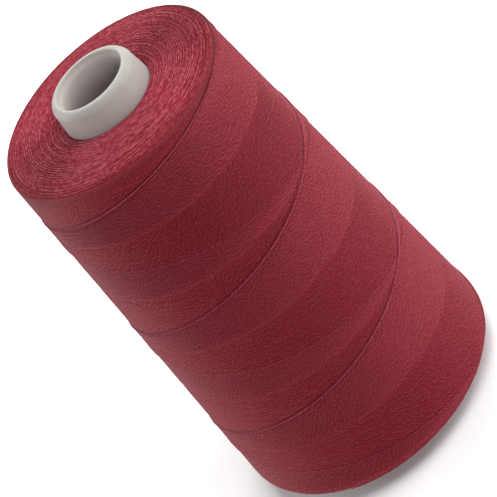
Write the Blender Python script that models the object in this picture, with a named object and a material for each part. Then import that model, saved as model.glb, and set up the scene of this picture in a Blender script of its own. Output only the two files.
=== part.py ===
"""A cone of sewing thread: a moulded plastic cone core and the thread cross-wound on it.

Metres, +Z up. The cone stands on the foot of its core, and the origin is the centre of that foot.
The front of the part faces -Y. The core is hollow from end to end, and its outside tapers by
3 degrees 30 minutes. The thread is one closed ring of winding around it: a shallow taper, a soft rim
at each end and a slightly crowned top. The thread went on in two families of helices, one climbing
and one falling. Each new band lies a little prouder than the one that it partly covers.
"""
import math

import bmesh
import bpy

# ---- driving dimensions ---------------------------------------------------------------------------
MM = 0.001

CORE_TAPER = math.radians(3.5)          # half-angle of the core's cone
WALL = 2.4 * MM                         # wall of the core
BORE_TOP_RADIUS = 9.6 * MM              # hole at the top of the core
FOOT_HEIGHT = 4.0 * MM                  # bare core below the winding
COLLAR_HEIGHT = 7.9 * MM                # bare core above the winding, up to the top of its lip
LIP_OUTER_ROUND = (1.8 * MM, 2.8 * MM)  # rounding of the lip's outside: radial, axial
LIP_INNER_ROUND = (0.5 * MM, 1.1 * MM)  # rounding of the lip's inside: radial, axial
FOOT_EDGE = 0.4 * MM                    # chamfer of the foot's two edges

WINDING_HEIGHT = 114.6 * MM
WINDING_BASE_RADIUS = 37.5 * MM
WINDING_TOP_RADIUS = 30.4 * MM
TOP_RIM = (2.2 * MM, 1.7 * MM)          # rounding of the winding's top rim: radial, axial
BASE_RIM = (2.8 * MM, 3.3 * MM)         # rounding of its bottom rim
CROWN = 1.0 * MM                        # rise of the top face from its rim to the core
RIM_BEAD = 0.3 * MM                     # the thread piles up a little where it turns back at the top
BEAD_HEIGHT = 4.0 * MM                  # how far down the side the pile fades out
CLEARANCE = 0.3 * MM                    # between the winding and the core

PITCH = 38.6 * MM                       # rise of a helix in one turn
CLIMB_START = 73.2 * MM                 # height of a climbing band's upper edge at the front
FALL_START = 83.4 * MM                  # height of a falling band's lower edge at the front
BAND_RELIEF = 0.7 * MM                  # how far a band would sink in one whole pitch of age
EDGE_STEEPNESS = 9.0                    # how much faster age grows past a band's edge than under it

SIDES = 72                              # flat sides of every turned form
ROWS_PER_PITCH = 24                     # rows of faces up the winding in one pitch
ARC_STEPS = 4                           # faces across a rounded edge
CROWN_STEPS = 3                         # rings of faces on the crowned top
SHARP_ANGLE = math.radians(40.0)        # edges that turn by more than this are shaded crisp

THREAD_RED = (0.235, 0.022, 0.040)      # linear colours
PLASTIC_GREY = (0.55, 0.54, 0.50)


# ---- helpers --------------------------------------------------------------------------------------
def make_material(name, colour, roughness, sheen=0.0):
    """A Principled material with one colour and one roughness."""
    material = bpy.data.materials.new(name)
    material.use_nodes = True
    shader = material.node_tree.nodes["Principled BSDF"]
    shader.inputs["Base Color"].default_value = (*colour, 1.0)
    shader.inputs["Metallic"].default_value = 0.0
    shader.inputs["Roughness"].default_value = roughness
    shader.inputs["Sheen Weight"].default_value = sheen
    return material


def rounded_corner(start, end, upright_first):
    """Profile points (radius, height) of a quarter ellipse from start to end, both included.

    It leaves start along the axis where upright_first is true, and level where it is false.
    """
    points = []
    for step in range(ARC_STEPS + 1):
        angle = 0.5 * math.pi * step / ARC_STEPS
        shares = (1.0 - math.cos(angle), math.sin(angle))
        radial, axial = shares if upright_first else shares[::-1]
        points.append((start[0] + (end[0] - start[0]) * radial,
                       start[1] + (end[1] - start[1]) * axial))
    return points


def turned_ring(name, profile, material, relief=None):
    """A closed ring turned about Z from a closed profile that goes up its outside and down its bore.

    relief, where given, says how far each point of the profile moves out at each angle.
    """
    mesh = bpy.data.meshes.new(name)
    shape = bmesh.new()
    rings = []
    for radius, height in profile:
        ring = []
        for side in range(SIDES):
            angle = 2.0 * math.pi * side / SIDES
            reach = radius + (relief(angle, radius, height) if relief else 0.0)
            ring.append(shape.verts.new((reach * math.cos(angle), reach * math.sin(angle), height)))
        rings.append(ring)
    for low, high in zip(rings, rings[1:] + rings[:1]):
        for side in range(SIDES):
            nxt = (side + 1) % SIDES
            shape.faces.new((low[side], low[nxt], high[nxt], high[side]))
    shape.normal_update()
    shape.to_mesh(mesh)
    shape.free()
    mesh.shade_smooth()
    mesh.set_sharp_from_angle(angle=SHARP_ANGLE)
    mesh.materials.append(material)
    piece = bpy.data.objects.new(name, mesh)
    bpy.context.collection.objects.link(piece)
    return piece


# ---- the core ---------------------------------------------------------------------------------------
TOTAL_HEIGHT = FOOT_HEIGHT + WINDING_HEIGHT + COLLAR_HEIGHT
WINDING_TOP = FOOT_HEIGHT + WINDING_HEIGHT


def bore_radius(height):
    """Inside radius of the core."""
    return BORE_TOP_RADIUS + (TOTAL_HEIGHT - height) * math.tan(CORE_TAPER)


def core_radius(height):
    """Outside radius of the core."""
    return bore_radius(height) + WALL


def core_profile():
    """Up the outside, over the lip, down the bore and across the foot."""
    lip_start = TOTAL_HEIGHT - LIP_OUTER_ROUND[1]
    lip_end = TOTAL_HEIGHT - LIP_INNER_ROUND[1]
    foot = [(core_radius(0.0) - FOOT_EDGE, 0.0), (core_radius(FOOT_EDGE), FOOT_EDGE)]
    lip_outside = rounded_corner((core_radius(lip_start), lip_start),
                                 (core_radius(TOTAL_HEIGHT) - LIP_OUTER_ROUND[0], TOTAL_HEIGHT),
                                 upright_first=True)
    lip_inside = rounded_corner((bore_radius(TOTAL_HEIGHT) + LIP_INNER_ROUND[0], TOTAL_HEIGHT),
                                (bore_radius(lip_end), lip_end), upright_first=False)
    foot_inside = [(bore_radius(FOOT_EDGE), FOOT_EDGE), (bore_radius(0.0) + FOOT_EDGE, 0.0)]
    return foot + lip_outside + lip_inside + foot_inside


# ---- the winding ------------------------------------------------------------------------------------
def side_radius(height):
    """Radius of the winding's plain side at a height above the foot."""
    share = (height - FOOT_HEIGHT) / WINDING_HEIGHT
    return WINDING_BASE_RADIUS + (WINDING_TOP_RADIUS - WINDING_BASE_RADIUS) * share


def family_age(distance):
    """Age of one family's thread at a distance behind its newest edge, as a share of a pitch.

    Just past the edge lies the oldest thread of the turn before, and the short slope there is the
    ledge that shows as a line round the cone.
    """
    share = (distance / PITCH) % 1.0
    return min(share, (1.0 - share) * EDGE_STEEPNESS)


def band_age(angle, height):
    """Age of the thread on top: 0 is the newest, and the newer family lies on the older one.

    A climbing band is newest just below its upper edge, a falling band just above its lower edge.
    """
    turn = angle / (2.0 * math.pi) + 0.25
    climb_edge = FOOT_HEIGHT + CLIMB_START + PITCH * turn
    fall_edge = FOOT_HEIGHT + FALL_START - PITCH * turn
    return min(family_age(climb_edge - height), family_age(height - fall_edge))


def winding_relief(angle, radius, height):
    """How far a point of the winding stands out of its plain form: nothing off the side."""
    if radius < side_radius(height) - BASE_RIM[0]:
        return 0.0
    below_top = WINDING_TOP - height
    above_base = height - FOOT_HEIGHT
    fade = max(0.0, min(1.0, below_top / TOP_RIM[1], above_base / BASE_RIM[1]))
    bead = RIM_BEAD * max(0.0, 1.0 - abs(below_top - TOP_RIM[1]) / BEAD_HEIGHT)
    return fade * (bead - BAND_RELIEF * band_age(angle, height))


def winding_profile():
    """Up the side, over the crowned top, down beside the core and across the bottom."""
    low = FOOT_HEIGHT + BASE_RIM[1]
    high = WINDING_TOP - TOP_RIM[1]
    base_rim = rounded_corner((side_radius(FOOT_HEIGHT) - BASE_RIM[0], FOOT_HEIGHT),
                              (side_radius(low), low), upright_first=False)
    top_rim = rounded_corner((side_radius(high), high),
                             (side_radius(WINDING_TOP) - TOP_RIM[0], WINDING_TOP),
                             upright_first=True)

    row = PITCH / ROWS_PER_PITCH
    height = FOOT_HEIGHT + CLIMB_START % row + 0.5 * row
    side = []
    while height < high - 0.5 * row:
        if height > low + 0.5 * row:
            side.append((side_radius(height), height))
        height += row

    rim_radius = top_rim[-1][0]
    bore_top = core_radius(WINDING_TOP + CROWN) + CLEARANCE
    crown = []
    for step in range(1, CROWN_STEPS + 1):
        share = step / CROWN_STEPS
        crown.append((rim_radius + (bore_top - rim_radius) * share,
                      WINDING_TOP + CROWN * math.sin(0.5 * math.pi * share)))
    bore_foot = (core_radius(FOOT_HEIGHT) + CLEARANCE, FOOT_HEIGHT)
    return base_rim + side + top_rim + crown + [bore_foot]


# ---- the part ---------------------------------------------------------------------------------------
def main():
    """Clears the scene and builds the core and the winding."""
    for old in list(bpy.data.objects):
        bpy.data.objects.remove(old, do_unlink=True)
    plastic = make_material("moulded_plastic", PLASTIC_GREY, roughness=0.42)
    thread = make_material("polyester_thread", THREAD_RED, roughness=0.62, sheen=0.3)
    turned_ring("core_cone", core_profile(), plastic)
    turned_ring("thread_winding", winding_profile(), thread, relief=winding_relief)


main()
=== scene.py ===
# %% [markdown]
# # A cone of sewing thread
# The object is a small industrial cone: red polyester thread, cross-wound on a pale plastic core.
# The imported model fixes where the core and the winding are. This script gives them their looks:
# a turned core with a soft moulded lip, and a winding made of real turns of thread, laid by
# Geometry Nodes on the winding's outline.

# %% Load the fixed frame
import math

import bmesh
import bpy
from mathutils import Matrix, Vector


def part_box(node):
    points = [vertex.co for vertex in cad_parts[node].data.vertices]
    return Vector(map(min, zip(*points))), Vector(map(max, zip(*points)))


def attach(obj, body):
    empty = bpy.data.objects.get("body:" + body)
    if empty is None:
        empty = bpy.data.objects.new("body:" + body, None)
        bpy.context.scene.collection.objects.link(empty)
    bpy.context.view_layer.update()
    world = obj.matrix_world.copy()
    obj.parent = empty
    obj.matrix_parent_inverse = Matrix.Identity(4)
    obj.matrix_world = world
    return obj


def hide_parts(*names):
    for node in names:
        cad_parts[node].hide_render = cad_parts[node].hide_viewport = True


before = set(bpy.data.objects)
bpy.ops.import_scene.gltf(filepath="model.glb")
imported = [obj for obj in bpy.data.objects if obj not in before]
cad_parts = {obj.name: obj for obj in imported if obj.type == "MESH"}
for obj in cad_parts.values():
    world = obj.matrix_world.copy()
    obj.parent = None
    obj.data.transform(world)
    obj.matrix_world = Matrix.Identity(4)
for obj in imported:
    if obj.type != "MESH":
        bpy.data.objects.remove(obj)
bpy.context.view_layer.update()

MM = 0.001

# %% [markdown]
# ## Sizes
# The frame gives the outer sizes. What it can't say is how the surface between them runs: the
# rounding of the rims and the lip, and the thickness of the core. They could be typed into each
# piece where it is made. They stand here instead, named as a winder would name them, because the
# thread, the layers below it and the core all have to agree on them.

# %% Sizes of the winding
winding_low, winding_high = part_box("thread_winding")

FOOT_HEIGHT = winding_low.z                # bare core below the winding
CROWN = 1.0 * MM                           # rise of the top face from its rim towards the core
WINDING_TOP = winding_high.z - CROWN
WINDING_HEIGHT = WINDING_TOP - FOOT_HEIGHT
BASE_RADIUS = 37.5 * MM
TOP_RADIUS = 30.4 * MM
TOP_RIM = (1.4 * MM, 1.0 * MM)             # rounding of the rims: radial, axial
BASE_RIM = (2.8 * MM, 3.3 * MM)
print(f"winding {WINDING_HEIGHT / MM:.1f} mm high, {2 * BASE_RADIUS / MM:.0f} mm across its base")

# %% Sizes of the core
CORE_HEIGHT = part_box("core_cone")[1].z
CORE_TAPER = math.radians(3.5)
WALL = 2.4 * MM
BORE_TOP_RADIUS = 9.6 * MM
BORE_FOOT_RADIUS = BORE_TOP_RADIUS + CORE_HEIGHT * math.tan(CORE_TAPER)
COLLAR_SLIM = 0.3 * MM                     # the bare collar is a little slimmer than the plain taper
LIP_TOP = CORE_HEIGHT - 0.5 * MM           # crest of the lip
LIP_CREST_RADIUS = 9.75 * MM
LIP_MOUTH_RADIUS = 8.95 * MM               # the lip is thicker than the wall, on the inside
LIP_OUTER_DEPTH = 2.4 * MM                 # how far its outside rounds down to the collar
LIP_INNER_DEPTH = 2.6 * MM                 # how far its inside rounds down into the bore
FOOT_EDGE = 0.4 * MM
print(f"core {CORE_HEIGHT / MM:.1f} mm high, mouth {2 * LIP_MOUTH_RADIUS / MM:.1f} mm across")

# %% [markdown]
# ## Camera
# The picture looks down on the cone from about 34 degrees above the horizon through a long lens, and
# the camera is rolled by about 43 degrees, so that the cone's axis leans to the left. A camera could
# be aimed with a Track To constraint, but that can't roll it. Here its matrix is put together: look
# along one line, then turn about that line. The picture is square, so one field of view holds both
# sides. The focal length in pixels and the distance come from a fit to the outline of the cone.

# %% Place the camera
PICTURE = 497                              # pixels a side
FOCAL_PIXELS = 2552.6
SENSOR = 36.0
CAMERA_DISTANCE = 637.5 * MM
CAMERA_TARGET = Vector((0.75 * MM, 0.0, FOOT_HEIGHT + 55.9 * MM))
CAMERA_ELEVATION = math.radians(33.883)
CAMERA_ROLL = math.radians(42.733)


def put(name, data, place=None):
    """Puts an object into the scene, at the origin where no place is given."""
    thing = bpy.data.objects.new(name, data)
    if place is not None:
        thing.matrix_world = place
    bpy.context.scene.collection.objects.link(thing)
    return thing


def place_camera():
    """Makes the camera, looking along +Y and down, then rolled about its own line of sight."""
    back = Vector((0.0, -math.cos(CAMERA_ELEVATION), math.sin(CAMERA_ELEVATION)))
    level = back.to_track_quat("Z", "Y").to_matrix()
    roll = Matrix.Rotation(-CAMERA_ROLL, 3, "Z")
    data = bpy.data.cameras.new("camera")
    data.sensor_width = SENSOR
    data.lens = SENSOR * FOCAL_PIXELS / PICTURE
    place = Matrix.Translation(CAMERA_TARGET + back * CAMERA_DISTANCE)
    camera = put("camera", data, place @ (level @ roll).to_4x4())
    bpy.context.scene.camera = camera
    return camera


camera = place_camera()
print(f"camera lens {camera.data.lens:.0f} mm at {CAMERA_DISTANCE / MM:.0f} mm")

# %% [markdown]
# ## Colours and nodes
# Colours are written as the sRGB hex values that a screen shows, but Blender mixes linear light, so
# one function turns the one into the other. Nodes could be added and linked a line at a time, which
# takes three or four lines for each. One function does it in one: a tuple feeds a node's inputs in
# order, a dict feeds them by name, and a node given as a value stands for its first output. Most
# materials here ask where they are on the cone, so that is written once too.

# %% Colour and node helpers
def linear(hex_colour):
    """Linear RGBA of an sRGB hex colour."""
    channels = [int(hex_colour[i:i + 2], 16) / 255 for i in (1, 3, 5)]
    return (*[c / 12.92 if c <= 0.04045 else ((c + 0.055) / 1.055) ** 2.4 for c in channels], 1.0)


def add(tree, kind, wires=(), **settings):
    """Adds a node with its settings, and sets or links its inputs."""
    node = tree.nodes.new(kind)
    for name, value in settings.items():
        setattr(node, name, value)
    open_inputs = [s for s in node.inputs if s.enabled]
    if not isinstance(wires, dict):
        wires = dict(zip(range(len(wires)), wires))
    for key, value in wires.items():
        named = [s for s in open_inputs if s.name == key]
        socket = open_inputs[key] if isinstance(key, int) else named[0]
        if isinstance(value, bpy.types.Node):
            value = next(s for s in value.outputs if s.enabled)
        if isinstance(value, bpy.types.NodeSocket):
            tree.links.new(value, socket)
        else:
            socket.default_value = value
    return node


def new_material(name):
    """An empty node material, and its tree."""
    material = bpy.data.materials.new(name)
    material.use_nodes = True
    material.node_tree.nodes.clear()
    return material, material.node_tree


def surfaced(material, inputs):
    """The material, once a Principled shader with these inputs is its surface."""
    shader = add(material.node_tree, "ShaderNodeBsdfPrincipled", inputs)
    add(material.node_tree, "ShaderNodeOutputMaterial", {"Surface": shader})
    return material


def place_on_cone(tree):
    """X, Y and Z of each place, in metres from the centre of the core's foot."""
    place = add(tree, "ShaderNodeTexCoord").outputs["Object"]
    return add(tree, "ShaderNodeSeparateXYZ", (place,)).outputs.values()


def from_the_axis(tree, x, y):
    """Distance of each place from the axis of the cone."""
    flat = add(tree, "ShaderNodeCombineXYZ", {"X": x, "Y": y})
    return add(tree, "ShaderNodeVectorMath", (flat,), operation="LENGTH").outputs["Value"]


print("middle grey #808080 is", round(linear("#808080")[0], 3), "in linear light")

# %% [markdown]
# ## The winding's outline
# A winder builds the package up on one turned form, so everything of the thread lies on one outline:
# across the bottom, round the lower rim, up the side, over the upper rim and in to the core. It
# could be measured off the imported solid, but that has flat sides, and its rims are coarse. It is
# drawn anew from the sizes, as a guide curve in the XZ plane with X for the radius. A place on it is
# its run: the length from the start. The runs of its corners are kept by name.

# %% Curves of the outline
def side_radius(height):
    """Radius of the plain side at a height above the foot of the core."""
    share = (height - FOOT_HEIGHT) / WINDING_HEIGHT
    return BASE_RADIUS + (TOP_RADIUS - BASE_RADIUS) * share


def core_radius(height):
    """Outside radius of the core."""
    return BORE_TOP_RADIUS + WALL + (CORE_HEIGHT - height) * math.tan(CORE_TAPER)


def rounded_corner(start, end, upright_first, steps=12):
    """Points (radius, height) of a quarter ellipse from start to end, both included."""
    points = []
    for step in range(steps + 1):
        angle = 0.5 * math.pi * step / steps
        shares = (1.0 - math.cos(angle), math.sin(angle))
        radial, axial = shares if upright_first else shares[::-1]
        points.append((start[0] + (end[0] - start[0]) * radial,
                       start[1] + (end[1] - start[1]) * axial))
    return points


print(f"side tapers by {(BASE_RADIUS - TOP_RADIUS) / MM:.1f} mm, over a core of "
      f"{core_radius(WINDING_TOP) / MM:.1f} mm radius at the top")

# %% Draw the outline
CROWN_POINTS = 12


def winding_stretches():
    """The outline's stretches by name, each a list of points (radius, height)."""
    low, high = FOOT_HEIGHT + BASE_RIM[1], WINDING_TOP - TOP_RIM[1]
    lower_start = (side_radius(FOOT_HEIGHT) - BASE_RIM[0], FOOT_HEIGHT)
    upper_end = (side_radius(WINDING_TOP) - TOP_RIM[0], WINDING_TOP)
    core = core_radius(WINDING_TOP) - COLLAR_SLIM
    top = []
    for step in range(1, CROWN_POINTS + 1):
        share = step / CROWN_POINTS
        top.append((upper_end[0] + (core - upper_end[0]) * share,
                    WINDING_TOP + CROWN * math.sin(math.pi * share)))
    return {"bottom": [(core_radius(FOOT_HEIGHT), FOOT_HEIGHT)],
            "lower_rim": rounded_corner(lower_start, (side_radius(low), low), False),
            "upper_rim": rounded_corner((side_radius(high), high), upper_end, True),
            "top": top}


def winding_outline():
    """The outline's points, and the runs at which its stretches start and end."""
    runs, points, run = {}, [], 0.0
    for name, stretch in winding_stretches().items():
        for number, point in enumerate(stretch):
            if points:
                run += math.dist(points[-1], point)
            if number == 0:
                runs[name] = run
            points.append(point)
        runs[name + "_end"] = run
    return points, runs


def guide_curve(name, points):
    """An open curve through points (radius, height), in the XZ plane."""
    data = bpy.data.curves.new(name, "CURVE")
    data.dimensions = "3D"
    spline = data.splines.new("POLY")
    spline.points.add(len(points) - 1)
    for target, (radius, height) in zip(spline.points, points):
        target.co = (radius, 0.0, height, 1.0)
    return put(name, data)


outline, runs = winding_outline()
outline_guide = guide_curve("winding_outline", outline)
print("runs in mm:", {name: round(run / MM, 1) for name, run in runs.items()})

# %% [markdown]
# ## Where the bands begin
# The thread goes up the cone in one family of helices and comes down in another. The newest climbing
# thread has nothing beside it on its upper side, so a dark crevice follows it round the cone, and
# both ease into the rim where the winder's guide slows down and turns back. The crevice could be cut
# as a groove, but it is finer than a thread. Its path is kept as sizes, which place the newest
# thread in the mesh and the shade in the material, so the two can't drift apart.

# %% Sizes of the bands
PITCH = 38.6 * MM                          # rise of a helix in one turn
FRONT = 0.25                               # angles start at +X, this share of a turn past the front
CLIMB_EDGE = 72.8 * MM                     # height of the climbing crevice at the front
FALL_EDGE = 83.5 * MM                      # height of the newest falling thread at the front
TURN_BACK = 0.3 * MM                       # the guide turns back this far past the top rim
EASING_TOP = 17.0 * MM                     # and slows down over this length
print(f"a helix rises {PITCH / MM:.1f} mm a turn, {WINDING_HEIGHT / PITCH:.1f} turns up the side")

# %% [markdown]
# ## Shade in the crevice
# Light hardly gets into the crevice, and the newest thread below it catches more than its share.
# Real depth would need threads a tenth as thick. So the material works out how far each place is
# from the crevice, with the helix written in Math nodes, and looks up in a colour ramp how much of
# its colour the thread keeps there. It reads Object coordinates alone, so it stays in its place from
# every side. The smooth minimum is the one that eases the threads themselves into the rim.

# %% Shade of the crevice
# Millimetres above the crevice, and the share of the colour that stays.
CREVICE = ((-1.2, 1.0), (-0.96, 1.0), (-0.74, 0.72), (-0.54, 1.2), (-0.32, 1.4), (-0.16, 0.95),
           (-0.04, 0.22), (0.14, 0.22), (0.38, 1.0))
BRIGHTEST = 1.4                            # a colour ramp ends at 1, so it holds shares of this


def crevice_line(tree, x, y, z):
    """Height of the crevice at a place on the side: the turn of the helix that is nearest."""
    angle = add(tree, "ShaderNodeMath", (y, x), operation="ARCTAN2")
    turn = add(tree, "ShaderNodeMath", (angle, 1 / math.tau, FRONT), operation="MULTIPLY_ADD")
    start = FOOT_HEIGHT + CLIMB_EDGE
    pitches = add(tree, "ShaderNodeMath", (z, 1 / PITCH, -start / PITCH), operation="MULTIPLY_ADD")
    above = add(tree, "ShaderNodeMath", (pitches, turn), operation="SUBTRACT")
    nearest = add(tree, "ShaderNodeMath", (above,), operation="ROUND")
    risen = add(tree, "ShaderNodeMath", (turn, nearest), operation="ADD")
    free_line = add(tree, "ShaderNodeMath", (risen, PITCH, start), operation="MULTIPLY_ADD")
    return add(tree, "ShaderNodeMath", (free_line, WINDING_TOP + TURN_BACK, EASING_TOP),
               operation="SMOOTH_MIN")


def crevice_shade(tree):
    """Share of its colour that the thread keeps at each place on the side."""
    x, y, z = place_on_cone(tree)
    distance = add(tree, "ShaderNodeMath", (z, crevice_line(tree, x, y, z)), operation="SUBTRACT")
    first, last = CREVICE[0][0], CREVICE[-1][0]
    across = add(tree, "ShaderNodeMapRange", {
        "Value": distance, "From Min": first * MM, "From Max": last * MM})
    ramp = add(tree, "ShaderNodeValToRGB", {"Fac": across})
    stops = ramp.color_ramp.elements
    for above, kept in CREVICE[1:-1]:
        stops.new((above - first) / (last - first))
    for stop, (above, kept) in zip(stops, CREVICE):
        stop.position = (above - first) / (last - first)
        # Light that met red thread more than once keeps more of its red.
        stop.color = (kept ** 0.5 / BRIGHTEST, kept / BRIGHTEST, kept / BRIGHTEST, 1.0)
    return add(tree, "ShaderNodeVectorMath", {"Vector": ramp, "Scale": BRIGHTEST}, operation="SCALE")


print(f"crevice shades {CREVICE[-1][0] - CREVICE[0][0]:.1f} mm of the side, in {len(CREVICE)} stops")

# %% [markdown]
# ## Shade round the top rim
# Where the thread turns back at the top, its turns lie in small steps that shade one another, and
# what light leaves them has met red thread more than once, so the rim looks deeper and redder. Steps
# of that size are finer than the mesh. The material measures how far each place is from the rim, and
# multiplies the colour by a share that keeps more of the red than of the green and the blue.

# %% Shade of the rim
RIM_KEPT = (0.82, 0.62, 0.62)              # share of red, green and blue that stays on the top rim
RIM_INSET = (0.6 * MM, 0.3 * MM)           # where it is darkest: in from the side, and below the top
RIM_SHADE = (0.5 * MM, 2.4 * MM)           # the shade is full within the first, and gone at the second
RIM_REACH_DOWN = 0.6                       # it reaches further down the side, by 1 over this


def rim_shade(tree):
    """Share of its colour that the thread keeps near the top rim."""
    x, y, z = place_on_cone(tree)
    radius = from_the_axis(tree, x, y)
    inward = add(tree, "ShaderNodeMath", (radius, -1.0, TOP_RADIUS - RIM_INSET[0]),
                 operation="MULTIPLY_ADD")
    below = add(tree, "ShaderNodeMath", (z, -1.0, WINDING_TOP - RIM_INSET[1]),
                operation="MULTIPLY_ADD")
    down = add(tree, "ShaderNodeMath", (below, RIM_REACH_DOWN), operation="MULTIPLY")
    away = add(tree, "ShaderNodeCombineXYZ", {"X": inward, "Y": down})
    distance = add(tree, "ShaderNodeVectorMath", (away,), operation="LENGTH").outputs["Value"]
    nearness = add(tree, "ShaderNodeMapRange", {
        "Value": distance, "From Min": RIM_SHADE[0], "From Max": RIM_SHADE[1],
        "To Min": 1.0, "To Max": 0.0}, interpolation_type="SMOOTHSTEP")
    return add(tree, "ShaderNodeMix", {
        "Factor": nearness, "A": (1.0, 1.0, 1.0, 1.0), "B": (*RIM_KEPT, 1.0)}, data_type="RGBA")


print(f"rim keeps {RIM_KEPT[0]:.0%} of its red, {RIM_KEPT[1]:.0%} of its green and blue")

# %% [markdown]
# ## Flecks, arcs and plies
# Dyed staple fibre is never quite even: short lengths of a thread are lighter or darker. Its fibres
# also glint, and the light flecks stand in for that too, as painted highlights. One noise texture
# gives clouds, because neighbours there are alike. The difference of two, one moved over by about a
# thread, cancels what neighbours share, so the flecks stay as fine as the thread. The fibres
# themselves, 12 thousandths of a millimetre thick, are too fine to show: each fleck stands for a
# few hundred of them, and is drawn 0.7 mm long on the side and 1.1 mm on the ends, so that it shows.

# %% Flecks in the dye, and painted glints
# Length of a fleck, flecks per thread across the threads, and threads over to the next fleck.
SIDE_GRAIN = (0.70 * MM, 0.85, 1.2)
END_GRAIN = (1.11 * MM, 0.9, 1.1)


def dye_and_glint_flecks(tree, here, grain):
    """Two noises along the threads, for dye and painted glints: flecks here, and one step over."""
    fleck_length, lane_scale, lane_step = grain
    beside = add(tree, "ShaderNodeVectorMath", (here, (0.0, lane_step, 0.0)), operation="ADD")
    flecks = []
    for spot in (here, beside):
        stretched = add(tree, "ShaderNodeVectorMath", (spot, (1 / fleck_length, lane_scale, 1.0)),
                        operation="MULTIPLY")
        flecks.append(add(tree, "ShaderNodeTexNoise", {
            "Vector": stretched, "Scale": 1.0, "Detail": 0.0}, noise_dimensions="2D").outputs["Fac"])
    return flecks


print(f"flecks {SIDE_GRAIN[0] / MM:.1f} mm long on the side, {END_GRAIN[0] / MM:.1f} mm on the ends")

# %% [markdown]
# On an end face the edge of each layer catches the light and the gap beside it lies in shade: light
# and dark arcs in turn, never quite round, painted into the colour. A wave texture would draw perfect
# rings, like a record. Here the count of threads goes through a sine, bent by a slow noise, so that
# arcs fade, merge and part as they do on the real one.

# %% Arcs on the end faces, and the twist of the plies
ARC_LENGTH = 20.0 * MM                     # how long an arc keeps its place
ARC_CHANGE = 0.12                          # how soon it changes from thread to thread
ARC_THREADS = 2.2                          # threads from one light arc to the next
ARC_BEND = 5.0                             # radians that the slow noise bends it by
# The crests of the two plies are 0.6 mm apart, or 2 pixels here: they are drawn at 0.8 mm.
PLY_CREST = 0.8 * MM
# In crests: their slant across a thread, the spread of their starts, and how far a fleck moves them.
PLY_SLANT, PLY_STARTS, PLY_WOBBLE = 0.3, 5.0, 6.0


def layer_arcs(tree, here, turn):
    """Painted light and shade of the layers' edges: arcs from -1 to 1 over an end face."""
    slow = add(tree, "ShaderNodeVectorMath", (here, (1 / ARC_LENGTH, ARC_CHANGE, 1.0)),
               operation="MULTIPLY")
    bend = add(tree, "ShaderNodeTexNoise", {"Vector": slow, "Scale": 1.0, "Detail": 1.0},
               noise_dimensions="2D").outputs["Fac"]
    straight = add(tree, "ShaderNodeMath", (turn, math.tau / ARC_THREADS), operation="MULTIPLY")
    bent = add(tree, "ShaderNodeMath", (bend, ARC_BEND, straight), operation="MULTIPLY_ADD")
    return add(tree, "ShaderNodeMath", (bent,), operation="SINE")


def ply_crests(tree, along, across, turn, fleck):
    """The plies winding round the thread: slanting crests that start anywhere on each thread."""
    crests = add(tree, "ShaderNodeMath", (along, 1.0 / PLY_CREST), operation="MULTIPLY")
    slanted = add(tree, "ShaderNodeMath", (across, PLY_SLANT, crests), operation="MULTIPLY_ADD")
    start = add(tree, "ShaderNodeTexWhiteNoise", {"W": turn}, noise_dimensions="1D")
    started = add(tree, "ShaderNodeMath", (start.outputs["Value"], PLY_STARTS, slanted),
                  operation="MULTIPLY_ADD")
    wobble = add(tree, "ShaderNodeMath", (fleck, PLY_WOBBLE, started), operation="MULTIPLY_ADD")
    turned = add(tree, "ShaderNodeMath", (wobble, math.tau), operation="MULTIPLY")
    return add(tree, "ShaderNodeMath", (turned,), operation="SINE")


print(f"an arc every {ARC_THREADS} threads, a ply crest every {PLY_CREST / MM:.1f} mm")

# %% [markdown]
# ## The thread's own light
# The fibres of a climbing thread and of a falling one slant opposite ways, so the light catches one
# family on one side of the cone and the other on the other: that is why the two bands differ in
# brightness though they are one thread. An anisotropic highlight would need a tangent on every
# point. Tilting the shading normal a little round the cone, one way for each family, gives the same
# change of light from side to side.

# %% A direction round the cone
SIDE_TILT = 0.10                           # added to a normal of length 1


def round_the_cone(tree, length):
    """A vector of a given length round the cone, from the left to the right at the front."""
    x, y, _ = place_on_cone(tree)
    before = add(tree, "ShaderNodeMath", (y, -1.0), operation="MULTIPLY")
    round_z = add(tree, "ShaderNodeCombineXYZ", {"X": before, "Y": x})
    unit = add(tree, "ShaderNodeVectorMath", (round_z,), operation="NORMALIZE")
    return add(tree, "ShaderNodeVectorMath", {"Vector": unit, "Scale": length}, operation="SCALE")


print(f"normals tilt by {math.degrees(math.atan(SIDE_TILT)):.0f} degrees round the cone")

# %% [markdown]
# ## Thread: spun polyester, dyed crimson
# Sewing thread is staple polyester fibre, spun, twisted into two plies and dyed. Its surface is
# matt, with a low gloss across each thread and a pale fuzz of fibre ends where it turns away from
# the eye. Hair particles could draw the fuzz, at a great cost. The shader's sheen gives the same
# pale edge. The pattern reads three attributes that the mesh carries: the length along a thread,
# the place across it, and the thread's number. Polyester has an index of refraction of 1.57.

# %% Spun polyester
TONE_STOPS = (0.30, 0.52, 0.72)            # where the dark, the middle and the light colour stand
PLY_SHARE = 0.05                           # painted light on the ply crests and painted shade between them
POLYESTER_IOR = 1.57


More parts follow.
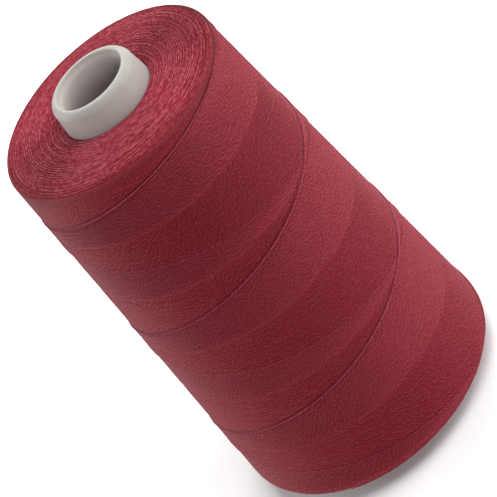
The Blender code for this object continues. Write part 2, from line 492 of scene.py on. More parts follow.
def thread_tone(tree, look, along, across, turn):
    """The thread's tone before its colour, from dark 0 to light 1, and the crests of its plies."""
    here = add(tree, "ShaderNodeCombineXYZ", {"X": along, "Y": turn})
    fleck, fleck_beside = dye_and_glint_flecks(tree, here, look["grain"])
    apart = add(tree, "ShaderNodeMath", (fleck, fleck_beside), operation="SUBTRACT")
    tone = add(tree, "ShaderNodeMath", (apart, look["contrast"], 0.5), operation="MULTIPLY_ADD")
    if look["arcs"]:
        tone = add(tree, "ShaderNodeMath", (layer_arcs(tree, here, turn), look["arcs"], tone),
                   operation="MULTIPLY_ADD")
    crests = ply_crests(tree, along, across, turn, fleck)
    # The crests lighten the tone and the troughs darken it: painted light and shade of the plies.
    tone = add(tree, "ShaderNodeMath", (crests, PLY_SHARE, tone), operation="MULTIPLY_ADD")
    # Thread 0, the newest of its family, lies free and catches more light: a painted highlight makes it
    # lighter than its neighbours.
    is_newest = add(tree, "ShaderNodeMath", (turn, 0.5), operation="LESS_THAN")
    tone = add(tree, "ShaderNodeMath", (is_newest, look["newest"], tone), operation="MULTIPLY_ADD")
    # lift raises the whole tone: painted light, where the light catches a family or a face more.
    return add(tree, "ShaderNodeMath", (tone, look["lift"]), operation="ADD"), crests


def spun_polyester(name, look):
    """Matt dyed thread with a fuzz that pales its edges. look says how this stretch lies, and its
    painted light.
    """
    material, tree = new_material(name)
    along, across, turn = (add(tree, "ShaderNodeAttribute", attribute_name=label).outputs["Fac"]
                           for label in ("along", "across", "turn"))
    tone, crests = thread_tone(tree, look, along, across, turn)
    colour = add(tree, "ShaderNodeValToRGB", {"Fac": tone})
    colour.color_ramp.elements.new(TONE_STOPS[1])
    for stop, position, shade in zip(colour.color_ramp.elements, TONE_STOPS, look["tones"]):
        stop.position = position
        stop.color = linear(shade)
    shades = (crevice_shade, rim_shade) if look["crevice"] else (rim_shade,)
    for shade in shades:
        colour = add(tree, "ShaderNodeVectorMath", (colour, shade(tree)), operation="MULTIPLY")
    surface = add(tree, "ShaderNodeNewGeometry").outputs["Normal"]
    tilted = add(tree, "ShaderNodeVectorMath", (surface, round_the_cone(tree, look["tilt"])),
                 operation="ADD")
    bump = add(tree, "ShaderNodeBump", {
        "Strength": 0.6, "Distance": 0.06 * MM, "Height": crests,
        "Normal": add(tree, "ShaderNodeVectorMath", (tilted,), operation="NORMALIZE")})
    return surfaced(material, {
        "Base Color": colour, "Roughness": 0.55, "IOR": POLYESTER_IOR,
        "Specular IOR Level": look["gloss"], "Sheen Weight": 0.10, "Sheen Roughness": 0.45,
        "Sheen Tint": linear("#E9B7BF"), "Normal": bump})


print("tones at", TONE_STOPS, "of the thread's range")

# %% [markdown]
# The same polyester lies in three ways, so there are three materials from one recipe. The two
# families on the side differ in gloss and in the way their fibres slant, and the climbing family is
# painted a little lighter, for the light that catches it more. The ends are painted lighter still,
# for the light that falls on them from above, and they have no crevice.

# %% Three ways that the thread lies
SIDE_LOOK = {"tones": ("#6C0006", "#841025", "#A33D4D"),   # darkest, middle and lightest thread; the pinkish lightest is also painted glint
             "grain": SIDE_GRAIN, "contrast": 0.5, "arcs": 0.0, "crevice": True}
# The climbing family's larger lift is painted light: the same dye, which the light catches more.
climbing_material = spun_polyester("spun_polyester_wound_climbing", SIDE_LOOK | {
    "gloss": 0.235, "lift": 0.024, "tilt": SIDE_TILT, "newest": 0.16})
falling_material = spun_polyester("spun_polyester_wound_falling", SIDE_LOOK | {
    "gloss": 0.187, "lift": 0.007, "tilt": -SIDE_TILT, "newest": 0.12})
# The ends' lighter tones are painted light, for the light that falls on them from above.
end_material = spun_polyester("spun_polyester_wound_on_the_ends", {
    "tones": ("#740C16", "#9C2A3C", "#C2606C"), "grain": END_GRAIN, "contrast": 0.32, "arcs": 0.12,
    "crevice": False, "gloss": 0.08, "lift": 0.01, "tilt": 0.0, "newest": 0.0})
for material in (climbing_material, falling_material, end_material):
    print(f"{material.name}: {len(material.node_tree.nodes)} nodes")

# %% [markdown]
# ## Laying thread with Geometry Nodes
# A winder spins the form while a guide moves along it and lays the thread down. The turns could be
# computed in Python and written as curves, point by point. A Geometry Nodes tree does the same for
# all threads at once, and its inputs are the winder's own settings. It copies one line as many
# times as threads lie in a pitch, moves each point to its angle and its run along the outline, and
# sweeps a small section along the result. The same tree, with other settings, lays the end faces.

# %% Settings of the winder
TURN_INPUTS = {
    "Outline": "Object",
    "Turns": "Int",                        # how many threads lie side by side in one pitch
    "Steps": "Int",                        # points along each thread
    "Way": "Float",                        # 1 climbs as it goes round, -1 falls
    "Pitch": "Float",                      # run covered in one turn of the form
    "Newest": "Float",                     # run of the newest thread at the front
    "Other Newest": "Float",               # the same for the family that goes the other way
    "Start": "Float",                      # run where the threads start, before the rims hold them
    "End": "Float",
    "Lowest": "Float",                     # runs that the guide turns back at
    "Highest": "Float",
    "Easing Low": "Float",                 # how gently it turns back
    "Easing High": "Float",
    "Layer": "Float",                      # thickness of one layer of thread
    "Depth": "Float",                      # how far the newest thread lies inside the outline
    "Lead": "Float",                       # how far the newest thread runs ahead of its neighbour
    "Proud": "Float",                      # how far it stands out of its neighbours
    "Thickness": "Float",
    "Waves": "Float",                      # how often a thread strays in one turn
    "Wander": "Float",                     # how far it strays sideways
    "Lift": "Float",                       # how far it strays in and out
    "Lap": "Float",                        # mean length of one turn, for the thread's pattern
    "Lanes": "Float",                      # 1 where one thread lies beside itself, as in a spiral
    "Seed": "Float",
    "Material": "Material",
}
print(len(TURN_INPUTS), "settings")

# %% [markdown]
# ### Angle and run
# Each step of the tree below is one function. It takes what is given and what is already known at
# each point, in a dict, and adds to it. The first finds where the guide would be if it never turned
# back, and so how many turns the form has made. A thread's age is its number as a share of the pitch:
# the newest is 0, the oldest nearly 1. The other family has an age here too.

# %% Steps of the tree: threads, their turns and ages
def start_threads(tree, given, at):
    """One line for each thread, with its number, its age and the share of the way along it."""
    line = add(tree, "GeometryNodeCurvePrimitiveLine")
    points = add(tree, "GeometryNodeResampleCurve", {"Curve": line, "Count": given["Steps"]})
    at["threads"] = add(tree, "GeometryNodeDuplicateElements", {
        "Geometry": points, "Amount": given["Turns"]}, domain="SPLINE")
    at["number"] = at["threads"].outputs["Duplicate Index"]
    counted = add(tree, "ShaderNodeMath", (at["number"], 0.5), operation="ADD")
    at["age"] = add(tree, "ShaderNodeMath", (counted, given["Turns"]), operation="DIVIDE")
    at["share"] = add(tree, "GeometryNodeSplineParameter").outputs["Factor"]


def turns_from(tree, given, at, newest, first):
    """Turns made on the way from the newest thread's run to each point, added to the first."""
    ahead = add(tree, "ShaderNodeMath", (at["free_run"], given[newest]), operation="SUBTRACT")
    pitches = add(tree, "ShaderNodeMath", (ahead, given["Pitch"]), operation="DIVIDE")
    return add(tree, "ShaderNodeMath", (pitches, given["Way"], first), operation="MULTIPLY_ADD")


def spin_form(tree, given, at):
    """Turns that the form has made at each point, and the angle that puts it at."""
    at["free_run"] = add(tree, "ShaderNodeMapRange", {
        "Value": at["share"], "To Min": given["Start"], "To Max": given["End"]})
    at["turns"] = turns_from(tree, given, at, "Newest", at["age"])
    from_front = add(tree, "ShaderNodeMath", (at["turns"], FRONT), operation="SUBTRACT")
    at["angle"] = add(tree, "ShaderNodeMath", (from_front, math.tau), operation="MULTIPLY")


def age_of_the_others(tree, given, at):
    """Age of the other family's thread at each point: it went the other way, so its turns add."""
    turns = turns_from(tree, given, at, "Other Newest", at["turns"])
    at["other_age"] = add(tree, "ShaderNodeMath", (turns,), operation="FRACT")


print("steps:", start_threads.__name__, spin_form.__name__, age_of_the_others.__name__)

# %% [markdown]
# ### Straying and lying over one another
# No thread lies quite true: a noise moves it aside and in and out, with another draw for each
# thread. The two families could be woven over and under one another, but on the real cone the newer
# one simply lies on top. So each thread sinks by its own age and the other family's, and by one more
# layer where the other is newer, over a short, ragged stretch.

# %% Steps of the tree: straying, layers and the turn at the rims
THREADS_APART = 3.7                        # noise cells from a thread to its neighbour
STRAY_SCALES = {"aside": 1.0, "out": 2.6}  # a thread goes in and out more often than aside
STRAY_MOST = 2.0                           # most that a point strays, in Wanders or Lifts
BLEND = 0.06                               # share of a pitch over which one family goes below


def stray(tree, given, at):
    """How far each point strays: sideways in metres, and out as a number from about -2 to 2."""
    spot = add(tree, "ShaderNodeCombineXYZ", (
        add(tree, "ShaderNodeMath", (at["turns"], given["Waves"]), operation="MULTIPLY"),
        add(tree, "ShaderNodeMath", (at["number"], THREADS_APART), operation="MULTIPLY"),
        given["Seed"]))
    for way, scale in STRAY_SCALES.items():
        noise = add(tree, "ShaderNodeTexNoise", {"Vector": spot, "Scale": scale, "Detail": 1.0})
        at[way] = add(tree, "ShaderNodeMath", (noise.outputs["Fac"], 2 * STRAY_MOST, -STRAY_MOST),
                      operation="MULTIPLY_ADD")
    at["side"] = add(tree, "ShaderNodeMath", (at["aside"], given["Wander"]), operation="MULTIPLY")


def bury(tree, given, at):
    """Layers of thread that came later and lie over each point."""
    older_by = add(tree, "ShaderNodeMath", (at["age"], at["other_age"]), operation="SUBTRACT")
    blend_at = add(tree, "ShaderNodeMath", (at["out"], BLEND, older_by), operation="MULTIPLY_ADD")
    covered = add(tree, "ShaderNodeMapRange", {
        "Value": blend_at, "From Min": -BLEND, "From Max": BLEND, "To Min": 0.0, "To Max": 1.0},
        interpolation_type="SMOOTHSTEP")
    both_ages = add(tree, "ShaderNodeMath", (at["age"], at["other_age"]), operation="ADD")
    at["layers_down"] = add(tree, "ShaderNodeMath", (both_ages, covered), operation="ADD")


def turn_back(tree, given, at):
    """Run of each point once the guide eases into the rims. The newest threads run ahead, proud."""
    # The lead halves from each thread to the next.
    newness = add(tree, "ShaderNodeMath", (0.5, at["number"]), operation="POWER")
    lead_way = add(tree, "ShaderNodeMath", (given["Lead"], given["Way"]), operation="MULTIPLY")
    lead = add(tree, "ShaderNodeMath", (newness, lead_way), operation="MULTIPLY")
    at["proud"] = add(tree, "ShaderNodeMath", (newness, given["Proud"]), operation="MULTIPLY")
    held_top = add(tree, "ShaderNodeMath",
                   (at["free_run"], given["Highest"], given["Easing High"]), operation="SMOOTH_MIN")
    held = add(tree, "ShaderNodeMath", (held_top, given["Lowest"], given["Easing Low"]),
               operation="SMOOTH_MAX")
    strayed = add(tree, "ShaderNodeMath", (held, at["side"]), operation="ADD")
    at["run"] = add(tree, "ShaderNodeMath", (strayed, lead), operation="ADD")


print("steps:", stray.__name__, bury.__name__, turn_back.__name__)

# %% [markdown]
# ### Onto the outline
# Sample Curve finds the outline's point and direction at a run. The thread's middle goes in from it
# by half a thread and by the layers that came later, and then the flat outline's point is turned to
# its angle. Three numbers are stored on every point for the material to read. Last, the section: a
# thread is round, but one with three smooth sides looks the same at this size and keeps the mesh
# light, with under 200,000 triangles for each family.

# %% Steps of the tree: onto the outline, and into a solid
def lay_down(tree, given, at):
    """Moves the points onto the outline, inside it by the layers that lie over them."""
    form = add(tree, "GeometryNodeObjectInfo", {"Object": given["Outline"]})
    seat = add(tree, "GeometryNodeSampleCurve", {
        "Curves": form.outputs["Geometry"], "Length": at["run"]}, mode="LENGTH")
    along_form = add(tree, "ShaderNodeSeparateXYZ", (seat.outputs["Tangent"],))
    falling_away = add(tree, "ShaderNodeMath", (along_form.outputs["X"], -1.0),
                       operation="MULTIPLY")
    normal = add(tree, "ShaderNodeCombineXYZ", {"X": along_form.outputs["Z"], "Z": falling_away})
    at["half"] = add(tree, "ShaderNodeMath", (given["Thickness"], 0.5), operation="MULTIPLY")
    under = add(tree, "ShaderNodeMath", (at["layers_down"], given["Layer"], at["half"]),
                operation="MULTIPLY_ADD")
    deep = add(tree, "ShaderNodeMath", (under, given["Depth"]), operation="ADD")
    lifted = add(tree, "ShaderNodeMath", (at["out"], given["Lift"], at["proud"]),
                 operation="MULTIPLY_ADD")
    stand = add(tree, "ShaderNodeMath", (lifted, deep), operation="SUBTRACT")
    shift = add(tree, "ShaderNodeVectorMath", {"Vector": normal, "Scale": stand}, operation="SCALE")
    flat = add(tree, "ShaderNodeVectorMath", (seat.outputs["Position"], shift), operation="ADD")
    spun, outward = (add(tree, "ShaderNodeVectorRotate", {"Vector": vector, "Angle": at["angle"]},
                         rotation_type="Z_AXIS") for vector in (flat, normal))
    laid = add(tree, "GeometryNodeSetPosition", {"Geometry": at["threads"], "Position": spun})
    at["laid"] = add(tree, "GeometryNodeSetCurveNormal", {"Curve": laid, "Normal": outward},
                     mode="FREE")


def mark(tree, given, at):
    """Stores the length along the thread and the thread's number, for the material."""
    # Neighbours share their lengths, so that a fleck in the dye can run over two or three of them.
    whole_turns = add(tree, "ShaderNodeMath", (at["turns"],), operation="FLOOR")
    laps_off = add(tree, "ShaderNodeMath", (whole_turns, given["Lanes"]), operation="MULTIPLY")
    laps = add(tree, "ShaderNodeMath", (at["turns"], laps_off), operation="SUBTRACT")
    length = add(tree, "ShaderNodeMath", (laps, given["Lap"]), operation="MULTIPLY")
    lane = add(tree, "ShaderNodeMath", (at["turns"], given["Lanes"], at["number"]),
               operation="MULTIPLY_ADD")
    for label, value in (("along", length), ("turn", lane)):
        at["laid"] = add(tree, "GeometryNodeStoreNamedAttribute", {
            "Geometry": at["laid"], "Name": label, "Value": value}, data_type="FLOAT", domain="POINT")


def sweep(tree, given, at):
    """Sweeps a small section along the threads, closes their ends and gives them their material."""
    ring = add(tree, "GeometryNodeCurvePrimitiveCircle", {"Resolution": 3, "Radius": at["half"]})
    corner = add(tree, "ShaderNodeSeparateXYZ", (add(tree, "GeometryNodeInputPosition"),))
    across = add(tree, "ShaderNodeMath", (corner.outputs["Y"], at["half"]), operation="DIVIDE")
    section = add(tree, "GeometryNodeStoreNamedAttribute", {
        "Geometry": ring, "Name": "across", "Value": across}, data_type="FLOAT", domain="POINT")
    swept = add(tree, "GeometryNodeCurveToMesh", {
        "Curve": at["laid"], "Profile Curve": section, "Fill Caps": True})
    smooth = add(tree, "GeometryNodeSetShadeSmooth", {"Geometry": swept, "Shade Smooth": True})
    solid = add(tree, "GeometryNodeRealizeInstances", {"Geometry": smooth})
    return add(tree, "GeometryNodeSetMaterial", {"Geometry": solid, "Material": given["Material"]})


print("steps:", lay_down.__name__, mark.__name__, sweep.__name__)

# %% Build the tree
def turns_tree():
    """Builds the tree and returns it with the identifiers of its inputs by name."""
    tree = bpy.data.node_groups.new("lay_turns", "GeometryNodeTree")
    names = {}
    for name, kind in TURN_INPUTS.items():
        item = tree.interface.new_socket(name=name, in_out="INPUT", socket_type="NodeSocket" + kind)
        names[name] = item.identifier
    tree.interface.new_socket(name="Geometry", in_out="OUTPUT", socket_type="NodeSocketGeometry")
    given, at = add(tree, "NodeGroupInput").outputs, {}
    for step in (start_threads, spin_form, age_of_the_others, stray, bury, turn_back, lay_down, mark):
        step(tree, given, at)
    add(tree, "NodeGroupOutput", {"Geometry": sweep(tree, given, at)})
    return tree, names


TURNS_TREE, TURNS_NAMES = turns_tree()
print(f"tree of {len(TURNS_TREE.nodes)} nodes, with {len(TURNS_NAMES)} inputs")

# %% [markdown]
# ## A piece from the tree
# A modifier could stay on the piece, but a finished piece is a plain mesh that holds its own place.
# So the tree runs on an empty helper object, the evaluated result is copied out as a mesh, and the
# helper goes. A modifier's inputs are set by their identifiers, before the object is evaluated.

# %% Grow a piece
def grown(name, values):
    """Runs the tree with its values and keeps the result as a plain mesh object at the origin."""
    seed = put(name + "_seed", bpy.data.meshes.new(name + "_seed"))
    modifier = seed.modifiers.new("grow", "NODES")
    modifier.node_group = TURNS_TREE
    for label, value in values.items():
        modifier[TURNS_NAMES[label]] = value
    bpy.context.view_layer.update()
    evaluated = seed.evaluated_get(bpy.context.evaluated_depsgraph_get())
    mesh = bpy.data.meshes.new_from_object(evaluated)
    mesh.name = name
    seed.modifiers.clear()
    bpy.data.objects.remove(seed)
    return linked(name, mesh)


def linked(name, mesh):
    """A mesh as an object in the scene, at the origin, with its triangles counted."""
    print(f"{name}: {sum(len(face.vertices) - 2 for face in mesh.polygons)} triangles")
    return put(name, mesh)


print("ready to grow from", TURNS_TREE.name)

# %% [markdown]
# ## The bands on the side
# The real thread is about 0.2 mm thick and lies in dozens of layers. All of it would be millions of
# triangles, and only the outermost shows. So each family is one pitch of threads, side by side, a
# little thicker and wider spaced than the real ones: at 4 pixels to the millimetre, finer threads
# would only blur. The families are the same tree, run once each way.

# %% Lay the climbing and the falling thread
THREAD = 0.30 * MM
SPACING = 0.25 * MM
LAYER = 0.20 * MM
SLANT = math.dist((BASE_RADIUS, 0.0), (TOP_RADIUS, WINDING_HEIGHT)) / WINDING_HEIGHT
STEPS_PER_TURN = 60
OVERRUN = 9.0 * MM                         # the free threads start and end this far past the rims
BELOW_CREVICE = 0.75 * MM                  # from the crevice down to the newest thread
LOWEST_TURN = 1.2 * MM                     # run round the lower rim that the guide turns back at
EASING_BASE = 6.0 * MM                     # it slows down over this length there
SIDE_MEAN_RADIUS = 34.0 * MM


def run_at(height):
    """Run along the outline of a height above the winding's bottom, on the plain side."""
    return runs["lower_rim_end"] + (height - BASE_RIM[1]) * SLANT


side_start, side_end = run_at(-OVERRUN), run_at(WINDING_HEIGHT + OVERRUN)
SIDE = {
    "Outline": outline_guide,
    "Turns": round(PITCH / SPACING),
    "Steps": round((side_end - side_start) / PITCH * STEPS_PER_TURN),
    "Pitch": PITCH, "Start": side_start, "End": side_end,
    "Lowest": runs["lower_rim"] + LOWEST_TURN, "Highest": run_at(WINDING_HEIGHT + TURN_BACK),
    "Easing Low": EASING_BASE, "Easing High": EASING_TOP,
    "Layer": LAYER, "Depth": -0.10 * MM, "Thickness": THREAD,
    "Lap": math.tau * SIDE_MEAN_RADIUS, "Lanes": 0.0,
    "Waves": 9.0, "Wander": 0.05 * MM, "Lift": 0.03 * MM,
}
climb_newest, fall_newest = run_at(CLIMB_EDGE - BELOW_CREVICE), run_at(FALL_EDGE)
climbing = grown("climbing_turns", SIDE | {
    "Way": 1.0, "Newest": climb_newest, "Other Newest": fall_newest,
    "Lead": 0.35 * MM, "Proud": 0.12 * MM, "Seed": 1.0, "Material": climbing_material})
falling = grown("falling_turns", SIDE | {
    "Way": -1.0, "Newest": fall_newest, "Other Newest": climb_newest,
    "Lead": 0.2 * MM, "Proud": 0.08 * MM, "Seed": 2.0, "Material": falling_material})

# %% [markdown]
# ## The turns on the two ends
# Where the guide turns back, layer upon layer of thread ends at the rims. Seen from above, their
# arcs fill the end face like rings. They could be a texture on a flat disc, but the light at the
# rim and round the core shows that they stand up. A tight spiral from the same tree covers each
# face: one thread, with a pitch of its own width.

# %% Lay the turns on the ends
END_SPACING = 0.32 * MM
END_THREAD = 0.42 * MM
END_MEAN_RADIUS = 21.0 * MM
OVER_THE_RIM = 1.0 * MM                    # the spiral reaches this far over the rim
OFF_THE_CORE = 0.2 * MM                    # and stays this far off the core


def end_turns(name, start, end, seed):
    """A spiral of thread over an end face, between two runs of the outline."""
    return grown(name, SIDE | {
        "Turns": 1, "Steps": round((end - start) / END_SPACING * STEPS_PER_TURN), "Way": 1.0,
        "Pitch": END_SPACING, "Newest": start, "Start": start, "End": end,
        "Lowest": start, "Highest": end, "Easing Low": 0.1 * MM, "Easing High": 0.1 * MM,
        "Layer": 0.0, "Depth": 0.0, "Lead": 0.0, "Proud": 0.0, "Thickness": END_THREAD,
        "Waves": 5.0, "Wander": 0.06 * MM, "Lift": 0.03 * MM, "Seed": seed,
        "Lap": math.tau * END_MEAN_RADIUS, "Lanes": 1.0, "Material": end_material})


top_turns = end_turns("top_turns", runs["upper_rim_end"] - OVER_THE_RIM,
                      runs["top_end"] - OFF_THE_CORE, 3.0)
bottom_turns = end_turns("bottom_turns", OFF_THE_CORE, runs["lower_rim"] + OVER_THE_RIM, 4.0)

# %% [markdown]
# ## Turning a form
# The layers below the thread and the core are both bodies of revolution. A Screw modifier could
# spin their profiles, but the seam needs merging afterwards and the normals can turn round. A ring
# of points for each point of a closed profile, joined to the next ring, has neither fault.

# %% Turn a closed ring from a profile
SEGMENTS = 180
SHARP_ANGLE = math.radians(40.0)           # edges that turn by more than this are shaded crisp


def turned(name, profile, material):
    """A closed ring turned about Z from a closed profile of points (radius, height)."""
    mesh = bpy.data.meshes.new(name)
    shape = bmesh.new()
    angles = [math.tau * k / SEGMENTS for k in range(SEGMENTS)]
    rings = []
    for radius, height in profile:
        rings.append([shape.verts.new((radius * math.cos(angle), radius * math.sin(angle), height))
                      for angle in angles])
    for low, high in zip(rings, rings[1:] + rings[:1]):
        for k in range(SEGMENTS):
            after = (k + 1) % SEGMENTS
            shape.faces.new((low[k], low[after], high[after], high[k]))
    bmesh.ops.recalc_face_normals(shape, faces=shape.faces)
    shape.to_mesh(mesh)
    shape.free()
    mesh.shade_smooth()
    mesh.set_sharp_from_angle(angle=SHARP_ANGLE)
    mesh.materials.append(material)
    return linked(name, mesh)


print(f"each ring has {SEGMENTS} points, one every {360 / SEGMENTS:.0f} degrees")

# %% [markdown]
# ## The layers below
# Between the turns the older layers show as a darker red: they lie in shade, and that shade is
# painted into their colour. They could be more threads, all but hidden. One turned form in their place,
# a little smaller than the outline, stops the light from coming through the winding, and it closes
# against the core.

# %% Packed layers of thread, in shade
LAYER_DEPTH = 1.1 * MM                     # how far the form lies inside the outline
PACKED_GRAIN = (25.0 * MM, 25.0 * MM, 0.36 * MM)   # a packed turn is long, and as high as a thread


def inset_outline(points, depth):
    """The outline moved in by depth, at right angles to itself."""
    moved = []
    for number, (radius, height) in enumerate(points):
        before, after = points[max(0, number - 1)], points[min(len(points) - 1, number + 1)]
        along = Vector((after[0] - before[0], after[1] - before[1])).normalized()
        moved.append((radius - depth * along.y, height + depth * along.x))
    return moved


def packed_polyester(name, colour):
    """The same polyester with its shade painted in: dark and matt, with its turns as a fine bump."""
    material, tree = new_material(name)
    place = add(tree, "ShaderNodeTexCoord").outputs["Object"]
    rings = add(tree, "ShaderNodeMapping", {
        "Vector": place, "Scale": [1 / size for size in PACKED_GRAIN]}, vector_type="POINT")
    noise = add(tree, "ShaderNodeTexNoise", {"Vector": rings, "Scale": 1.0, "Detail": 2.0})
    bump = add(tree, "ShaderNodeBump", {
        "Strength": 0.5, "Distance": 0.1 * MM, "Height": noise.outputs["Fac"]})
    return surfaced(material, {
        "Base Color": colour, "Roughness": 0.8, "IOR": POLYESTER_IOR, "Normal": bump})


# The dark red is painted shade: the thread's own dye, as it looks in the shade between the turns.
layers_material = packed_polyester("spun_polyester_packed_below", linear("#4A0A16"))
layers = turned("packed_layers", inset_outline(outline, LAYER_DEPTH), layers_material)

# %% [markdown]
# ## The core's plastic
# The core is injection moulded in unfilled polypropylene, which is pale grey and milky: light goes
# a few millimetres into it and comes out again, so its edges look soft, and the mould's fine grain
# keeps its gloss low. Two things more show in the bore. Where the wall is bare outside, light comes
# through it, and deeper down the thread outside blocks that light. Subsurface scattering alone
# doesn't carry light through a whole wall, so the colour helps: lighter inside the bare collar,
# darker below. Polypropylene has an index of refraction of 1.49.

# %% Where the bore is bare or buried
# Each zone starts and is full at these depths below the lip's crest, in millimetres.
# The thick zone is the lip: its colour is painted darker there, as shade against the light on its
# crest.
CORE_ZONES = {"past_lip": (0.1, 1.6), "buried": (3.0, 11.5), "thick": (3.0, 0.8)}
BORE_REACH = (1.0 * MM, 0.5 * MM)          # the bore's colour starts and is full this far into the wall
CLOUD_SIZE = 11.0 * MM


def core_colour(tree, place, tones):
    """The plastic's colour at each place: plain, painted darker on the lip as shade, and inside the
    bore.
    """
    cloud = add(tree, "ShaderNodeTexNoise", {"Vector": place, "Scale": 1 / CLOUD_SIZE, "Detail": 2.0})
    plain = add(tree, "ShaderNodeMix", {
        "Factor": cloud.outputs["Fac"], "A": linear(tones["plain"]), "B": linear(tones["cloud"])},
        data_type="RGBA")
    x, y, z = place_on_cone(tree)
    # With the taper added back, the whole bore has the radius of its foot.
    untapered = add(tree, "ShaderNodeMath", (z, math.tan(CORE_TAPER), from_the_axis(tree, x, y)),
                    operation="MULTIPLY_ADD")
    in_bore = add(tree, "ShaderNodeMapRange", {
        "Value": untapered, "From Min": BORE_FOOT_RADIUS + BORE_REACH[0],
        "From Max": BORE_FOOT_RADIUS + BORE_REACH[1]})
    zones = {}
    for zone, (start, full) in CORE_ZONES.items():
        zones[zone] = add(tree, "ShaderNodeMapRange", {
            "Value": z, "From Min": LIP_TOP - start * MM, "From Max": LIP_TOP - full * MM},
            interpolation_type="SMOOTHSTEP")
    inside = add(tree, "ShaderNodeMath", (in_bore, zones["past_lip"]), operation="MULTIPLY")
    wall = add(tree, "ShaderNodeMix", {
        "Factor": zones["buried"], "A": linear(tones["bare_wall"]),
        "B": linear(tones["buried_wall"])}, data_type="RGBA")
    # Painted shade: the lip is a little darker than the plain plastic, to hold back the light on its
    # crest.
    outside = add(tree, "ShaderNodeMix", {
        "Factor": zones["thick"], "A": plain, "B": linear(tones["lip"])}, data_type="RGBA")
    return add(tree, "ShaderNodeMix", {"Factor": inside, "A": outside, "B": wall}, data_type="RGBA")


print(f"bare collar {(LIP_TOP - WINDING_TOP) / MM:.1f} mm high, buried below that")

# %% Moulded polypropylene
MOULD_GRAIN = 0.4 * MM                     # sparked steel is about 0.05 mm, too fine to show


def moulded_polypropylene(name, tones):
    """Milky satin plastic: soft edges from light inside it, and a low gloss from the mould's grain."""
    material, tree = new_material(name)
    place = add(tree, "ShaderNodeTexCoord").outputs["Object"]
    grain = add(tree, "ShaderNodeTexNoise", {"Vector": place, "Scale": 1 / MOULD_GRAIN, "Detail": 1.0})
    bump = add(tree, "ShaderNodeBump", {
        "Strength": 0.08, "Distance": 0.05 * MM, "Height": grain.outputs["Fac"]})
    return surfaced(material, {
        "Base Color": core_colour(tree, place, tones), "Roughness": 0.5, "IOR": 1.49,
        "Specular IOR Level": 0.3, "Subsurface Weight": 0.6, "Subsurface Scale": 3.0 * MM,
        "Subsurface Radius": (1.0, 0.8, 0.7), "Normal": bump})


core_material = moulded_polypropylene("polypropylene_moulded", {
    "plain": "#A5A19D", "cloud": "#9E9A96", "lip": "#979490",
    "bare_wall": "#C0BAB6", "buried_wall": "#948988"})
print(f"{core_material.name}: {len(core_material.node_tree.nodes)} nodes")

# %% [markdown]
# ## The core's shape
# The core is a hollow cone that runs the whole height and stands out at both ends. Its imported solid
# has a plain lip with four steps to a corner. The real lip is fatter and softer than the wall and
# rounds far down into the bore, and light on pale plastic shows every step. So the core is turned
# again from its profile, with 16 steps to each side of the lip.

# %% Turn the core
LIP_STEPS = 16
SLIM_START = WINDING_TOP - 6.0 * MM        # the collar slims down from here, inside the winding
SLIM_AT_WINDING = 0.8                      # share of it that is reached at the winding's top
MOUTH_TAPER = (0.8 * MM, 7.0 * MM)         # the bore widens by the first over the second


def core_profile():
    """Up the outside, over the lip, down its soft inside, down the bore and across the foot."""
    outside = core_radius(LIP_TOP) - COLLAR_SLIM
    inner_end = LIP_TOP - LIP_INNER_DEPTH
    foot = [(core_radius(0.0) - FOOT_EDGE, 0.0), (core_radius(FOOT_EDGE), FOOT_EDGE)]
    collar = [(core_radius(SLIM_START), SLIM_START),
              (core_radius(WINDING_TOP) - SLIM_AT_WINDING * COLLAR_SLIM, WINDING_TOP)]
    crest = (LIP_CREST_RADIUS, LIP_TOP)
    lip = rounded_corner((outside, LIP_TOP - LIP_OUTER_DEPTH), crest, True, LIP_STEPS)
    mouth = rounded_corner(crest, (LIP_MOUTH_RADIUS, inner_end), False, LIP_STEPS)[1:]
    inside = [(LIP_MOUTH_RADIUS + MOUTH_TAPER[0], inner_end - MOUTH_TAPER[1]),
              (BORE_FOOT_RADIUS, FOOT_EDGE), (BORE_FOOT_RADIUS + FOOT_EDGE, 0.0)]
    return foot + collar + lip + mouth + inside


core = turned("core", core_profile(), core_material)

# %% [markdown]
# ## Light
# The cone was lit by large soft panels, brightest from the right and from behind, on a white sweep.
# A world texture could give that light, but its brightness from each side is hard to steer. Five
# square panels, each three quarters as wide as it is far away, give soft light with one strength
# for each side. Their strengths were found by lighting the cone with one at a time and adding the
# pictures up, until the tones round the cone agreed. The world gives no light, and a low camera
# sees it as white paper behind the floor.

# %% Hang the panels
PANELS = (                                 # azimuth from the camera's side, elevation, watts
    ("right", 90.0, 12.0, 14.0),
    ("high_front_right", 60.0, 65.0, 12.6),
    ("behind", 165.0, 45.0, 14.4),
    ("back_left", -120.0, 12.0, 11.2),
    ("front", -15.0, 12.0, 9.2),
)
PANEL_SIZE = 0.9
PANEL_DISTANCE = 1.2


def soft_panel(name, azimuth, elevation, power):
    """A square soft panel aimed at the middle of the cone."""
    data = bpy.data.lights.new(name, "AREA")
    data.shape = "SQUARE"
    data.size = PANEL_SIZE
    data.energy = power
    a, e = math.radians(azimuth), math.radians(elevation)
    away = Vector((math.sin(a) * math.cos(e), -math.cos(a) * math.cos(e), math.sin(e)))
    place = Matrix.Translation(CAMERA_TARGET + away * PANEL_DISTANCE)
    return put(name, data, place @ away.to_track_quat("Z", "Y").to_matrix().to_4x4())


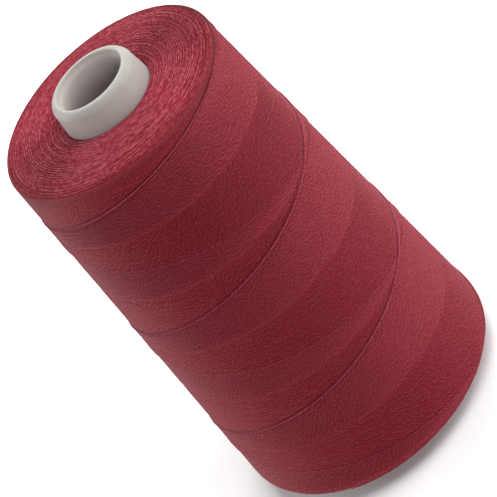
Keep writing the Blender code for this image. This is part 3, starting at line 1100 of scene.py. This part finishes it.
for panel in PANELS:
    soft_panel(*panel)
world = bpy.data.worlds.new("studio")
bpy.context.scene.world = world
world.use_nodes = True
backdrop = world.node_tree.nodes["Background"]
backdrop.inputs["Color"].default_value = linear("#FFFFFF")
seen = add(world.node_tree, "ShaderNodeLightPath").outputs["Is Camera Ray"]
world.node_tree.links.new(seen, backdrop.inputs["Strength"])
bpy.context.scene.view_settings.view_transform = "Standard"
print(f"{len(PANELS)} panels, {sum(power for *_, power in PANELS):.0f} W in all")

# %% [markdown]
# ## Floor
# The cone stands on matt white paper. A curved sweep would hide the horizon, but the camera looks
# down so steeply that a flat floor fills the picture. It is a disc that ends before it reaches the
# panels, so that from a low side it meets the white world in an even edge. It is plain.

# %% Lay the floor
FLOOR_RADIUS = 0.8
FLOOR_SIDES = 96


def matt_paper(name):
    """Uncoated white paper: rough, so that it shows soft shadows and no reflections."""
    material, _ = new_material(name)
    return surfaced(material, {"Base Color": linear("#F4F4F4"), "Roughness": 0.9})


def pale_floor():
    """A round floor under the foot of the core."""
    mesh = bpy.data.meshes.new("floor")
    shape = bmesh.new()
    bmesh.ops.create_circle(shape, cap_ends=True, segments=FLOOR_SIDES, radius=FLOOR_RADIUS)
    shape.to_mesh(mesh)
    shape.free()
    mesh.materials.append(matt_paper("paper_uncoated_white"))
    floor = linked("floor", mesh)


pale_floor()

# %% [markdown]
# ## Ties to the frame
# Nothing on a cone of thread moves, so every piece rides on the one body, root. The imported layers
# stand for the solid winding and the turned core for the solid core, so both solids are hidden here,
# and stay in the imported model for everything else. The guide curve has done its work and goes.

# %% Tie the pieces to the frame
PIECES = {
    "sewing_thread": (climbing, falling, top_turns, bottom_turns, layers),
    "core_plastic": (core,),
}
for slot, pieces in PIECES.items():
    for piece in pieces:
        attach(piece, "root")
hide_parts("thread_winding")
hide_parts("core_cone")
bpy.data.objects.remove(outline_guide)
print({slot: [piece.name for piece in pieces] for slot, pieces in PIECES.items()})
